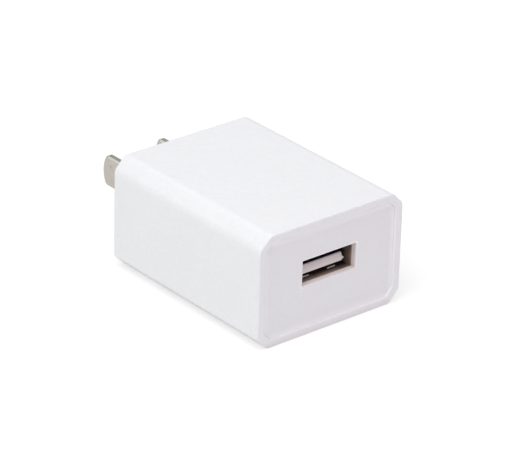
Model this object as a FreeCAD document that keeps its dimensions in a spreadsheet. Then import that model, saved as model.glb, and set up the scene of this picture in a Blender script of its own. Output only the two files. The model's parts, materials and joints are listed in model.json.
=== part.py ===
# USB wall charger with a fixed two-blade plug and one USB-A socket.
#
# A white casing, open at the front, is closed by a sunk front plate with the socket's window. Inside, a
# circuit board runs in rails near the roof with its tall parts hanging below it. Two flat blades stand out
# of the rear wall, held by a carrier, and leaf springs on the board press on their tails. The socket's four
# contact beams and its four grip fingers are the parts that move: each springs back as a plug goes in.
#
# Frame: millimetres, +Z up, +X to the right as the socket is faced. The origin is on the plug face, the flat
# rear face that meets the wall outlet, midway between the blades. The blades point along +Y, the socket
# opens towards -Y.

import FreeCAD
import Part
import math
import os
import re
import Sketcher

DOCUMENT = FreeCAD.newDocument("usb_wall_charger")

# Driving dimensions: alias, value and what it is. Lengths are in millimetres.
SIZES = [
    # casing
    ("body_width", 34.2, "casing across, along X"),
    ("body_height", 22.8, "casing high, along Z"),
    ("body_length", 42.75, "plug face to the casing's front rim, along Y"),
    ("corner_cut", 2.5, "chamfer on the casing's four long corners"),
    ("corner_blend", 0.9, "radius that softens both edges of the lower chamfers"),
    ("crown_blend", 2.0, "the same on the upper chamfers, which are rounder"),
    ("rear_round", 0.5, "rounding around the plug face"),
    ("rim_round", 0.28, "break on the front rim's edges"),
    ("wall", 1.95, "side wall"),
    ("rear_wall", 2.0, "wall behind the plug face"),
    ("rim", 1.7, "wall beside the front plate, thinner by the ledge that stops the plate"),
    # front plate
    ("plate_recess", 0.43, "front rim to the plate's face"),
    ("plate_thick", 1.3, "plate"),
    ("plate_gap", 0.01, "plate to rim"),
    ("seat_blend", 1.1, "plate's upper corners and the ledge they sit in"),
    ("skirt_thick", 1.0, "skirt behind the plate"),
    ("skirt_depth", 2.4, "skirt"),
    ("skirt_gap", 0.1, "skirt to the casing's wall"),
    ("window_width", 12.75, "socket window"),
    ("window_height", 5.14, "socket window"),
    ("window_round", 0.3, "break on the window's front edge"),
    ("port_height", 1.08, "socket's centre above the blades' centre"),
    ("stop_width", 2.4, "rib that stops the board"),
    ("stop_height", 4.0, "rib that stops the board"),
    ("stop_place", 11.0, "rib's centre from the middle"),
    # plug blades
    ("blade_pitch", 12.7, "blade centre to blade centre"),
    ("blade_thick", 1.5, "blade"),
    ("blade_height", 6.35, "blade"),
    ("blade_length", 16.45, "blade outside the plug face"),
    ("tip_bulge", 0.9, "how far the rounded tip stands out of its corners"),
    ("tip_round", 1.25, "tip's corners"),
    ("blade_bevel", 0.28, "bevel around the blade, on both sides"),
    ("slot_gap", 0.05, "blade to its slots"),
    ("flange_height", 8.6, "stop flange inside the rear wall"),
    ("flange_thick", 1.3, "stop flange"),
    ("tail_height", 4.0, "blade inside the carrier"),
    ("tail_reach", 11.0, "plug face to the tail's inner end"),
    # blade carrier and its seat
    ("carrier_width", 21.0, "blade carrier"),
    ("carrier_height", 10.4, "blade carrier"),
    ("carrier_depth", 4.5, "blade carrier"),
    ("carrier_round", 1.0, "carrier's corners"),
    ("seat_thick", 1.2, "ribs that hold the carrier"),
    ("seat_gap", 0.05, "carrier to rib"),
    # leaf springs on the blade tails
    ("leaf_metal", 0.3, "leaf"),
    ("leaf_width", 2.2, "leaf, along Y"),
    ("leaf_place", 9.3, "plug face to the leaf's middle"),
    ("leaf_stand", 1.0, "blade's side to the leaf's straight stem"),
    ("leaf_foot", 3.4, "blade's side to the end of the soldered foot"),
    ("leaf_bend", 0.4, "centre-line radius of its bends"),
    # circuit board and its rails
    ("board_width", 29.3, "board"),
    ("board_thick", 1.6, "board"),
    ("board_front", 38.4, "plug face to the board's front edge"),
    ("board_rear", 7.5, "plug face to the board's rear edge"),
    ("board_lift", 0.09, "socket shell to board"),
    ("rail_reach", 0.8, "rail out of the casing's wall"),
    ("rail_thick", 0.8, "rail"),
    ("rail_gap", 0.1, "rail to board"),
    ("lead_out", 1.0, "soldered lead past the board"),
    ("hole_gap", 0.15, "lead to its hole"),
    # USB-A socket
    ("shell_width", 13.1, "socket shell, outside"),
    ("shell_height", 5.72, "socket shell, outside"),
    ("shell_length", 13.9, "socket shell"),
    ("shell_metal", 0.3, "socket shell's sheet"),
    ("shell_round", 0.5, "socket shell's outer corners"),
    ("shell_gap", 0.05, "front plate to socket shell"),
    ("leg_width", 1.6, "socket shell's leg"),
    ("leg_place", 8.0, "shell's mouth to the leg's middle"),
    ("leg_hole", 1.15, "radius of the leg's hole in the board"),
    ("tongue_width", 11.1, "tongue"),
    ("tongue_thick", 1.95, "tongue"),
    ("tongue_clear", 0.86, "space between tongue and shell on the side with no contacts"),
    ("tongue_set", 1.15, "shell's mouth to the tongue's tip"),
    ("tongue_bevel", 0.16, "bevel on the tongue's tip"),
    ("tongue_rib", 0.42, "rib along each side of the tongue"),
    ("tongue_lean", 0.25, "lean of the side above that rib"),
    ("block_depth", 4.2, "insulator block behind the tongue"),
    ("block_gap", 0.03, "insulator block to shell"),
    ("contact_outer", 3.5, "power contacts from the middle"),
    ("contact_inner", 1.0, "data contacts from the middle"),
    ("contact_width", 0.9, "contact"),
    ("contact_metal", 0.2, "contact's sheet"),
    ("contact_sink", 0.5, "contact's root below the tongue's contact face"),
    ("contact_crest", 0.42, "contact's crest above that face"),
    ("contact_reach", 6.0, "root to crest"),
    ("contact_tip", 7.0, "root to tip"),
    ("contact_bend", 0.45, "centre-line radius of a contact's bends"),
    ("groove_width", 1.6, "groove under a contact"),
    ("groove_depth", 1.1, "groove under a contact"),
    ("groove_lip", 0.35, "tongue left in front of a groove"),
    ("root_gap", 0.04, "moving half to fixed half of a contact or finger"),
    ("tail_drop", 1.1, "socket shell's rear edge to the contact tails"),
    # grip fingers of the socket shell
    ("finger_width", 1.85, "grip finger"),
    ("finger_place", 3.15, "finger's middle from the shell's middle"),
    ("finger_root", 8.6, "shell's mouth to the finger's root"),
    ("finger_crest", 3.3, "shell's mouth to the finger's crest"),
    ("finger_tip", 1.9, "shell's mouth to the finger's free end"),
    ("finger_rise", 0.36, "crest's height off the shell's wall"),
    ("finger_end", 0.02, "free end's height off the shell's wall"),
    ("finger_gap", 0.3, "slit along a finger"),
    ("finger_slit", 0.5, "slit in front of its free end"),
    ("finger_bend", 0.6, "centre-line radius at the crest"),
    # transformer
    ("trans_place", 1.4, "transformer's centre from the middle, along X"),
    ("trans_reach", 18.9, "plug face to the transformer's centre"),
    ("trans_drop", 6.3, "board to the transformer's centre"),
    ("core_width", 13.2, "ferrite core"),
    ("core_depth", 12.6, "both core halves, along Y"),
    ("core_thick", 6.2, "ferrite core"),
    ("core_side", 2.3, "outer legs and yokes"),
    ("core_middle", 3.2, "centre leg"),
    ("core_gap", 0.02, "between parts of the transformer"),
    ("bobbin_wall", 0.5, "bobbin's tube and flanges"),
    ("flange_width", 8.4, "bobbin flange"),
    ("flange_tall", 12.2, "bobbin flange"),
    ("winding_width", 8.0, "winding with its tape, along X"),
    ("winding_tall", 11.6, "winding with its tape, along Z"),
    ("rail_deep", 2.5, "bobbin's pin rail, along Y"),
    ("tape_thick", 0.12, "tape around the core"),
    ("tape_wide", 5.0, "tape around the core"),
    ("pin_pitch", 2.54, "transformer pins"),
    ("pin_radius", 0.3, "transformer pins"),
    # capacitors, choke and fuse below the board
    ("bulk_radius", 4.0, "input capacitor"),
    ("bulk_tall", 12.0, "input capacitor"),
    ("bulk_place", 10.25, "input capacitors from the middle"),
    ("bulk_rear", 16.6, "plug face to the rear one"),
    ("bulk_front", 24.9, "plug face to the front one"),
    ("output_radius", 3.15, "output capacitor"),
    ("output_tall", 11.0, "output capacitor"),
    ("output_place", 10.9, "output capacitors from the middle"),
    ("output_reach", 33.4, "plug face to the output capacitors"),
    ("stand_off", 0.4, "board to a part that hangs below it"),
    ("bulk_pitch", 3.5, "input capacitor's leads"),
    ("output_pitch", 2.5, "output capacitor's leads"),
    ("lead_radius", 0.25, "round leads"),
    ("choke_radius", 2.6, "filter choke"),
    ("choke_tall", 7.0, "filter choke"),
    ("choke_flange", 1.0, "choke's flanges"),
    ("choke_pitch", 3.0, "choke's leads"),
    ("side_place", 11.4, "choke and safety capacitor from the middle"),
    ("choke_reach", 15.4, "plug face to the choke"),
    ("disc_radius", 3.7, "safety capacitor"),
    ("disc_thick", 3.2, "safety capacitor"),
    ("disc_reach", 23.9, "plug face to the safety capacitor"),
    ("disc_pitch", 5.0, "safety capacitor's leads"),
    ("fuse_radius", 1.15, "fusible resistor"),
    ("fuse_long", 5.2, "fusible resistor"),
    ("fuse_pitch", 8.0, "fusible resistor's leads"),
    ("fuse_reach", 9.3, "plug face to the fusible resistor"),
    ("fuse_bend", 0.7, "bend of its leads"),
    # parts soldered on top of the board
    ("chip_metal", 0.2, "leads of flat packages"),
    ("sheet_thick", 0.25, "insulation sheet"),
    ("sheet_width", 27.4, "insulation sheet"),
    ("sheet_front", 37.0, "plug face to the sheet's front edge"),
    ("sheet_rear", 6.0, "plug face to the sheet's rear edge"),
]

# Heights and depths that several parts share, as expressions of the sheet's cells.
BOARD_UNDER = "(port_height + shell_height / 2 + board_lift)"
BOARD_TOP = f"({BOARD_UNDER} + board_thick)"
LEAD_END = f"({BOARD_TOP} + lead_out)"
PLATE_BACK = "(-body_length + plate_recess + plate_thick)"
SHELL_FRONT = f"({PLATE_BACK} + shell_gap)"
SHELL_REAR = f"({SHELL_FRONT} + shell_length)"
TONGUE_UNDER = "(port_height - shell_height / 2 + shell_metal + tongue_clear)"
TONGUE_TOP = f"({TONGUE_UNDER} + tongue_thick)"
TONGUE_TIP = f"({SHELL_FRONT} + tongue_set)"
BLOCK_FRONT = f"({SHELL_REAR} - block_depth)"
ROOT_HEIGHT = f"({TONGUE_TOP} - contact_sink)"
ROOT_PLACE = f"({BLOCK_FRONT} + contact_metal)"
TRANS_HEIGHT = f"({BOARD_UNDER} - trans_drop)"

CONTACTS = {
    "power": "-contact_outer",
    "data_minus": "-contact_inner",
    "data_plus": "contact_inner",
    "ground": "contact_outer",
}
SIDES = {"left": -1, "right": 1}
FINGERS = {f"{level}_{side}": (SIDES[side], up)
           for level, up in (("top", 1), ("bottom", -1)) for side in SIDES}

# Every hole that the board needs: centre X, centre Y and radius. Each part with leads adds its own.
board_holes = []


# ---- the sheet, and expressions that read it -------------------------------------------------------------


def make_sheet():
    """Writes the driving dimensions to a spreadsheet, one aliased cell each."""
    sheet = DOCUMENT.addObject("Spreadsheet::Sheet", "Sizes")
    for row, (alias, number, note) in enumerate(SIZES, start=1):
        sheet.set(f"A{row}", alias)
        sheet.set(f"B{row}", str(number))
        sheet.set(f"C{row}", note)
        sheet.setAlias(f"B{row}", alias)
    DOCUMENT.recompute()
    return sheet


SHEET = make_sheet()
ALIASES = re.compile(r"\b(" + "|".join(alias for alias, _, _ in SIZES) + r")\b")


def cells(text):
    """The expression with each alias pointing at the sheet."""
    return ALIASES.sub(r"Sizes.\1", str(text))


def value(text):
    """What the expression comes to now."""
    return float(SHEET.evalExpression(str(text)))


def bind(thing, **properties):
    """Binds each property to its expression. A double underscore stands for a dot."""
    for name, text in properties.items():
        thing.setExpression(name.replace("__", "."), cells(text))
    return thing


# ---- Part primitives -------------------------------------------------------------------------------------


def box(name, along_x, along_y, along_z):
    """A block between two expressions along each axis."""
    made = DOCUMENT.addObject("Part::Box", name)
    (x0, x1), (y0, y1), (z0, z1) = along_x, along_y, along_z
    bind(made, Length=f"({x1}) - ({x0})", Width=f"({y1}) - ({y0})", Height=f"({z1}) - ({z0})")
    return bind(made, Placement__Base__x=x0, Placement__Base__y=y0, Placement__Base__z=z0)


def middle_box(name, centre, size):
    """A block given by its centre and its size, as expressions."""
    spans = [(f"({c}) - ({s}) / 2", f"({c}) + ({s}) / 2") for c, s in zip(centre, size)]
    return box(name, *spans)


TURNS = {
    "z": FreeCAD.Rotation(),
    "x": FreeCAD.Rotation(FreeCAD.Vector(0, 1, 0), 90),
    "y": FreeCAD.Rotation(FreeCAD.Vector(1, 0, 0), -90),
}


def cylinder(name, radius, start, height, axis="z"):
    """A cylinder that starts at a point and runs along +X, +Y or +Z."""
    made = DOCUMENT.addObject("Part::Cylinder", name)
    made.Placement = FreeCAD.Placement(FreeCAD.Vector(), TURNS[axis])
    bind(made, Radius=radius, Height=height)
    return bind(made, Placement__Base__x=start[0], Placement__Base__y=start[1], Placement__Base__z=start[2])


def fuse(name, *parts):
    made = DOCUMENT.addObject("Part::MultiFuse", name)
    made.Shapes = list(parts)
    made.Refine = True
    return made


def group(name, *parts):
    """Separate solids that share one node."""
    made = DOCUMENT.addObject("Part::Compound", name)
    made.Links = list(parts)
    return made


def cut(name, base, *tools):
    made = DOCUMENT.addObject("Part::Cut", name)
    made.Base = base
    made.Tool = tools[0] if len(tools) == 1 else fuse(f"{name}_tools", *tools)
    return made


def dress(kind, name, base, chosen, size):
    """A Part::Fillet or Part::Chamfer on the edges that chosen picks."""
    DOCUMENT.recompute()
    made = DOCUMENT.addObject(f"Part::{kind}", name)
    made.Base = base
    amount = value(size)
    made.Edges = [(i, amount, amount) for i, edge in enumerate(base.Shape.Edges, start=1) if chosen(edge)]
    return made


def middle_of(edge):
    return edge.valueAt((edge.FirstParameter + edge.LastParameter) / 2)


def runs_along(edge, axis):
    """Whether a straight edge is parallel to X, Y or Z."""
    if edge.Curve.TypeId != "Part::GeomLine":
        return False
    return abs(getattr(edge.tangentAt(edge.FirstParameter), axis)) > 0.999


def is_round(edge):
    return edge.Curve.TypeId == "Part::GeomCircle"


# ---- PartDesign bodies -----------------------------------------------------------------------------------


def new_body(name):
    made = DOCUMENT.addObject("PartDesign::Body", name)
    DOCUMENT.recompute()
    return made


def new_sketch(body, name, plane, offset="0"):
    """An empty sketch on one of the body's own planes, moved along the plane's normal."""
    sketch = body.newObject("Sketcher::SketchObject", name)
    sketch.AttachmentSupport = [(next(f for f in body.Origin.OriginFeatures if f.Role == plane), "")]
    sketch.MapMode = "FlatFace"
    return bind(sketch, AttachmentOffset__Base__z=offset)


def pin_point(sketch, line, end, place):
    """Holds one end of a line at a place whose coordinates are expressions."""
    for kind, axis, text in (("DistanceX", -2, place[0]), ("DistanceY", -1, place[1])):
        number = value(text)
        if abs(number) < 1e-9:
            sketch.addConstraint(Sketcher.Constraint("PointOnObject", line, end, axis))
        else:
            index = sketch.addConstraint(Sketcher.Constraint(kind, -1, 1, line, end, number))
            sketch.setExpression(f"Constraints[{index}]", cells(text))


def add_outline(sketch, points):
    """A closed outline of straight lines whose corners are expressions."""
    first = sketch.GeometryCount
    corners = [FreeCAD.Vector(value(x), value(y), 0) for x, y in points]
    count = len(points)
    for i in range(count):
        sketch.addGeometry(Part.LineSegment(corners[i], corners[(i + 1) % count]), False)
    for i in range(count):
        sketch.addConstraint(Sketcher.Constraint("Coincident", first + i, 2, first + (i + 1) % count, 1))
        pin_point(sketch, first + i, 1, points[i])
    return sketch


def rectangle(centre, size):
    """The four corners of a rectangle, as expressions."""
    (cx, cy), (width, height) = centre, size
    left, right = f"({cx}) - ({width}) / 2", f"({cx}) + ({width}) / 2"
    low, high = f"({cy}) - ({height}) / 2", f"({cy}) + ({height}) / 2"
    return [(left, low), (right, low), (right, high), (left, high)]


def cut_rectangle(half_width, half_height, corner):
    """The eight corners of a rectangle with its own corners cut off at 45 degrees, as expressions."""
    w, h, c = f"({half_width})", f"({half_height})", f"({corner})"
    quarter = [(f"{w} - {c}", h), (w, f"{h} - {c}")]
    upper = [(f"-({x})", y) for x, y in reversed(quarter)] + quarter
    return upper + [(x, f"-({y})") for x, y in reversed(upper)]


def casing_outline(inset):
    """The casing's outline, moved in by an expression all round."""
    corner = f"corner_cut - (2 - sqrt(2)) * ({inset})"
    return cut_rectangle(f"body_width / 2 - ({inset})", f"body_height / 2 - ({inset})", corner)


def extrude(body, kind, name, sketch, length, backwards=False, both=False):
    """A Pad or a Pocket, checked to have added or removed material."""
    before = body.Shape.Volume if body.Tip else 0.0
    made = body.newObject(f"PartDesign::{kind}", name)
    made.Profile = sketch
    made.Reversed = backwards
    made.Midplane = both
    bind(made, Length=length)
    DOCUMENT.recompute()
    change = made.Shape.Volume - before
    if (kind == "Pad") != (change > 0) or abs(change) < 1e-6:
        raise RuntimeError(f"{body.Label}: {name} changed the volume by {change:.4f}")
    return made


def soften(body, kind, name, chosen, size):
    """A PartDesign Fillet or Chamfer on the edges of the body's tip that chosen picks."""
    base = body.Tip
    names = [f"Edge{i}" for i, edge in enumerate(base.Shape.Edges, start=1) if chosen(edge)]
    if not names:
        raise RuntimeError(f"{body.Label}: {name} found no edges")
    made = body.newObject(f"PartDesign::{kind}", name)
    made.Base = (base, names)
    bind(made, **{"Radius" if kind == "Fillet" else "Size": size})
    DOCUMENT.recompute()
    return made


# ---- bent sheet and bent wire ----------------------------------------------------------------------------


def bent_path(points, bend):
    """A wire through the points, straight but for an arc of the bend's radius at each inner point."""
    pieces = []
    start = points[0]
    for before, corner, after in zip(points, points[1:], points[2:]):
        back, ahead = (before - corner).normalize(), (after - corner).normalize()
        half_turn = (math.pi - back.getAngle(ahead)) / 2
        reach = bend * math.tan(half_turn)
        enter, leave = corner + back * reach, corner + ahead * reach
        bulge = (back + ahead).normalize() * (bend / math.cos(half_turn) - bend)
        pieces.append(Part.LineSegment(start, enter).toShape())
        pieces.append(Part.Arc(enter, corner + bulge, leave).toShape())
        start = leave
    pieces.append(Part.LineSegment(start, points[-1]).toShape())
    return Part.Wire(pieces)


def feature(name, shape):
    made = DOCUMENT.addObject("Part::Feature", name)
    made.Shape = shape
    made.Placement = FreeCAD.Placement()
    return made


def strip(name, corners, bend, metal, width):
    """A strip of sheet bent along the corners, with its width shared evenly to both sides of them.

    Each corner is three expressions, and all of them lie in one plane across X or across Y.
    """
    points = [FreeCAD.Vector(*[value(text) for text in corner]) for corner in corners]
    upright = points[0].x == points[1].x == points[-1].x
    across = FreeCAD.Vector(1, 0, 0) if upright else FreeCAD.Vector(0, 1, 0)
    outline = bent_path(points, value(bend)).makeOffset2D(value(metal) / 2, 0, False, False)
    half = across * (value(width) / 2)
    face = Part.Face(outline)
    face.translate(-half)
    return feature(name, face.extrude(half * 2))


def lead_wire(name, corners, bend, radius):
    """A round wire bent along the corners."""
    points = [FreeCAD.Vector(*[value(text) for text in corner]) for corner in corners]
    path = bent_path(points, value(bend))
    ring = Part.Wire(Part.makeCircle(value(radius), points[0], points[1] - points[0]))
    return feature(name, path.makePipeShell([ring], True, False))


# ---- casing, front plate and plug ------------------------------------------------------------------------


def make_housing():
    """The casing: a deep cup with cut corners, open at the front, with its rails and the carrier's ribs."""
    body = new_body("housing_shell")
    outline = add_outline(new_sketch(body, "casing_outline", "XZ_Plane"), casing_outline("0"))
    extrude(body, "Pad", "casing_block", outline, "body_length")
    for name, level, size in (("lower_corners", -1, "corner_blend"), ("upper_corners", 1, "crown_blend")):
        soften(body, "Fillet", name,
               lambda edge: runs_along(edge, "y") and middle_of(edge).z * level > 0, size)
    soften(body, "Fillet", "plug_face_edge", lambda edge: abs(middle_of(edge).y) < 1e-6, "rear_round")

    mouth = add_outline(new_sketch(body, "cavity_outline", "XZ_Plane", "body_length"), casing_outline("wall"))
    extrude(body, "Pocket", "cavity", mouth, "body_length - rear_wall")
    ledge = add_outline(new_sketch(body, "ledge_outline", "XZ_Plane", "body_length"), casing_outline("rim"))
    extrude(body, "Pocket", "plate_seat", ledge, "plate_recess + plate_thick")
    front, back = -value("body_length"), value(PLATE_BACK)
    soften(body, "Fillet", "seat_corners",
           lambda edge: runs_along(edge, "y") and middle_of(edge).z > 0 and middle_of(edge).y < back,
           "seat_blend")
    soften(body, "Fillet", "rim_edges", lambda edge: abs(middle_of(edge).y - front) < 1e-6, "rim_round")

    slots = new_sketch(body, "blade_slots_outline", "XZ_Plane", "rear_wall")
    for side in SIDES.values():
        size = ("blade_thick + 2 * slot_gap", "blade_height + 2 * slot_gap")
        add_outline(slots, rectangle((f"{side} * blade_pitch / 2", "0"), size))
    extrude(body, "Pocket", "blade_slots", slots, "rear_wall")

    rails = new_sketch(body, "rails_outline", "XZ_Plane", "rear_wall")
    inner = "(body_width / 2 - wall)"
    levels = (f"{BOARD_UNDER} - rail_gap - rail_thick / 2", f"{BOARD_TOP} + rail_gap + rail_thick / 2")
    for side in SIDES.values():
        for level in levels:
            middle = (f"{side} * ({inner} - rail_reach / 2)", level)
            add_outline(rails, rectangle(middle, ("rail_reach", "rail_thick")))
    extrude(body, "Pad", "board_rails", rails, "board_front - rear_wall")

    seat = new_sketch(body, "seat_outline", "XZ_Plane", "rear_wall")
    for side in SIDES.values():
        place = f"{side} * (carrier_width / 2 + seat_gap + seat_thick / 2)"
        add_outline(seat, rectangle((place, "0"), ("seat_thick", "carrier_height * 0.7")))
    extrude(body, "Pad", "carrier_seat", seat, "carrier_depth")
    return body


def make_front_plate():
    """The sunk plate with the socket's window, a skirt inside the casing and two ribs that stop the board."""
    body = new_body("front_plate")
    face = new_sketch(body, "plate_outline", "XZ_Plane", "body_length - plate_recess")
    add_outline(face, casing_outline("rim + plate_gap"))
    extrude(body, "Pad", "plate", face, "plate_thick", backwards=True)
    soften(body, "Fillet", "upper_corners",
           lambda edge: runs_along(edge, "y") and middle_of(edge).z > 0, "seat_blend")

    back = "body_length - plate_recess - plate_thick"
    skirt = new_sketch(body, "skirt_outline", "XZ_Plane", back)
    add_outline(skirt, casing_outline("wall + skirt_gap"))
    add_outline(skirt, casing_outline("wall + skirt_gap + skirt_thick"))
    extrude(body, "Pad", "skirt", skirt, "skirt_depth", backwards=True)

    stops = new_sketch(body, "stops_outline", "XZ_Plane", back)
    for side in SIDES.values():
        add_outline(stops, rectangle((f"{side} * stop_place", f"{BOARD_UNDER} + board_thick / 2"),
                                     ("stop_width", "stop_height")))
    extrude(body, "Pad", "board_stops", stops, f"{back} - board_front - rail_gap", backwards=True)

    window = new_sketch(body, "window_outline", "XZ_Plane", "body_length - plate_recess")
    add_outline(window, rectangle(("0", "port_height"), ("window_width", "window_height")))
    extrude(body, "Pocket", "socket_window", window, "plate_thick")
    front = -value("body_length - plate_recess")
    middle, reach = value("port_height"), value("window_height / 2") + 1e-6
    soften(body, "Fillet", "window_edges",
           lambda edge: abs(middle_of(edge).y - front) < 1e-6 and abs(middle_of(edge).z - middle) < reach
           and abs(middle_of(edge).x) < value("window_width / 2") + 1e-6, "window_round")
    return body


def make_blade(side):
    """One flat blade with a rounded, bevelled tip, its stop flange and its tail inside the casing."""
    body = new_body(f"blade_{side}")
    place = f"{SIDES[side]} * blade_pitch / 2"
    half, shoulder = "blade_height / 2", "flange_height / 2"
    inner, stop = "-rear_wall", "-(rear_wall + flange_thick)"

    sketch = new_sketch(body, "blade_outline", "YZ_Plane", place)
    side_view = [
        ("blade_length - tip_bulge", f"-{half}"),
        ("blade_length - tip_bulge", half),
        (inner, half),
        (inner, shoulder),
        (stop, shoulder),
        (stop, "tail_height / 2"),
        ("-tail_reach", "tail_height / 2"),
    ]
    lower = [(y, f"-({z})") for y, z in reversed(side_view[2:])]
    add_outline(sketch, [side_view[1]] + side_view[2:] + lower + [side_view[0]])
    extrude(body, "Pad", "blade_plate", sketch, "blade_thick", both=True)

    tip = new_sketch(body, "tip_outline", "YZ_Plane", place)
    end, reach, crown = value("blade_length - tip_bulge"), value("blade_length"), value(half)
    arc = Part.Arc(FreeCAD.Vector(end, crown, 0), FreeCAD.Vector(reach, 0, 0), FreeCAD.Vector(end, -crown, 0))
    tip.addGeometry(arc, False)
    tip.addGeometry(Part.LineSegment(FreeCAD.Vector(end, -crown, 0), FreeCAD.Vector(end, crown, 0)), False)
    tip.addConstraint(Sketcher.Constraint("Coincident", 1, 1, 0, 1))
    tip.addConstraint(Sketcher.Constraint("Coincident", 1, 2, 0, 2))
    pin_point(tip, 1, 1, ("blade_length - tip_bulge", f"-{half}"))
    pin_point(tip, 1, 2, ("blade_length - tip_bulge", half))
    radius = f"(({half})^2 + tip_bulge^2) / (2 * tip_bulge)"
    index = tip.addConstraint(Sketcher.Constraint("Radius", 0, value(radius)))
    tip.setExpression(f"Constraints[{index}]", cells(radius))
    extrude(body, "Pad", "blade_tip", tip, "blade_thick", both=True)
    soften(body, "Fillet", "tip_corners",
           lambda edge: runs_along(edge, "x") and abs(middle_of(edge).y - end) < 1e-6, "tip_round")

    soften(body, "Chamfer", "edge_bevel",
           lambda edge: is_round(edge) and middle_of(edge).y > end, "blade_bevel")
    return body


def make_carrier():
    """The block behind the rear wall that traps the blades' flanges, with a slot for each tail."""
    body = new_body("blade_carrier")
    outline = add_outline(new_sketch(body, "carrier_outline", "XZ_Plane", "rear_wall"),
                          rectangle(("0", "0"), ("carrier_width", "carrier_height")))
    extrude(body, "Pad", "carrier_block", outline, "carrier_depth")
    soften(body, "Fillet", "carrier_corners", lambda edge: runs_along(edge, "y"), "carrier_round")
    for name, height, depth in (("flange_pockets", "flange_height", "flange_thick + slot_gap"),
                                ("tail_slots", "tail_height", "carrier_depth")):
        sketch = new_sketch(body, f"{name}_outline", "XZ_Plane", "rear_wall")
        for side in SIDES.values():
            add_outline(sketch, rectangle((f"{side} * blade_pitch / 2", "0"),
                                          ("blade_thick + 2 * slot_gap", f"{height} + 2 * slot_gap")))
        extrude(body, "Pocket", name, sketch, depth, backwards=True)
    return body


def make_leaf(side):
    """The leaf spring that is soldered under the board and presses on a blade's tail."""
    sign = SIDES[side]
    face = f"(blade_pitch / 2 + blade_thick / 2)"
    touch = "(leaf_metal / 2 + slot_gap / 2)"
    y = "-leaf_place"
    corners = [
        (f"{sign} * ({face} + leaf_foot)", y, f"{BOARD_UNDER} - leaf_metal / 2"),
        (f"{sign} * ({face} + leaf_stand)", y, f"{BOARD_UNDER} - leaf_metal / 2"),
        (f"{sign} * ({face} + leaf_stand)", y, "tail_height / 2"),
        (f"{sign} * ({face} + {touch})", y, "0"),
        (f"{sign} * ({face} + leaf_stand)", y, "-tail_height / 2"),
    ]
    return strip(f"tail_spring_{side}", corners, "leaf_bend", "leaf_metal", "leaf_width")


# ---- USB-A socket ----------------------------------------------------------------------------------------


def finger_window(side, up):
    """The slot in the shell's wall that a grip finger moves in."""
    wall = f"(port_height + {up} * (shell_height / 2 - shell_metal / 2))"
    middle = f"{side} * finger_place"
    span = (f"{SHELL_FRONT} + finger_tip - finger_slit", f"{SHELL_FRONT} + finger_root")
    edges = (f"{middle} - finger_width / 2 - finger_gap", f"{middle} + finger_width / 2 + finger_gap")
    return box("finger_window", edges, span, (f"{wall} - shell_metal", f"{wall} + shell_metal"))


def make_socket_shell():
    """The folded metal shell with four finger windows and a soldered leg on each side."""
    body = new_body("socket_tube")
    for name, inset, kind in (("outside", "0", "Pad"), ("inside", "shell_metal", "Pocket")):
        sketch = new_sketch(body, f"{name}_outline", "XZ_Plane", f"-{SHELL_FRONT}")
        size = (f"shell_width - 2 * ({inset})", f"shell_height - 2 * ({inset})")
        add_outline(sketch, rectangle(("0", "port_height"), size))
        extrude(body, kind, name, sketch, "shell_length", backwards=kind == "Pad")
        half = value("shell_width / 2") - value(inset)
        soften(body, "Fillet", f"{name}_corners",
               lambda edge: runs_along(edge, "y") and abs(abs(middle_of(edge).x) - half) < 1e-6,
               f"shell_round - ({inset})")
    windows = [finger_window(side, up) for side, up in FINGERS.values()]
    tube = cut("socket_tube_windowed", body, *windows)
    legs = []
    for side in SIDES.values():
        edge = f"{side} * (shell_width / 2 - shell_metal / 2)"
        legs.append(middle_box("socket_leg", (edge, f"{SHELL_FRONT} + leg_place",
                                              f"(port_height + shell_round + {LEAD_END}) / 2"),
                               ("shell_metal", "leg_width", f"{LEAD_END} - port_height - shell_round")))
        board_holes.append((edge, f"{SHELL_FRONT} + leg_place", "leg_hole"))
    return fuse("usb_shell", tube, *legs)


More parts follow.
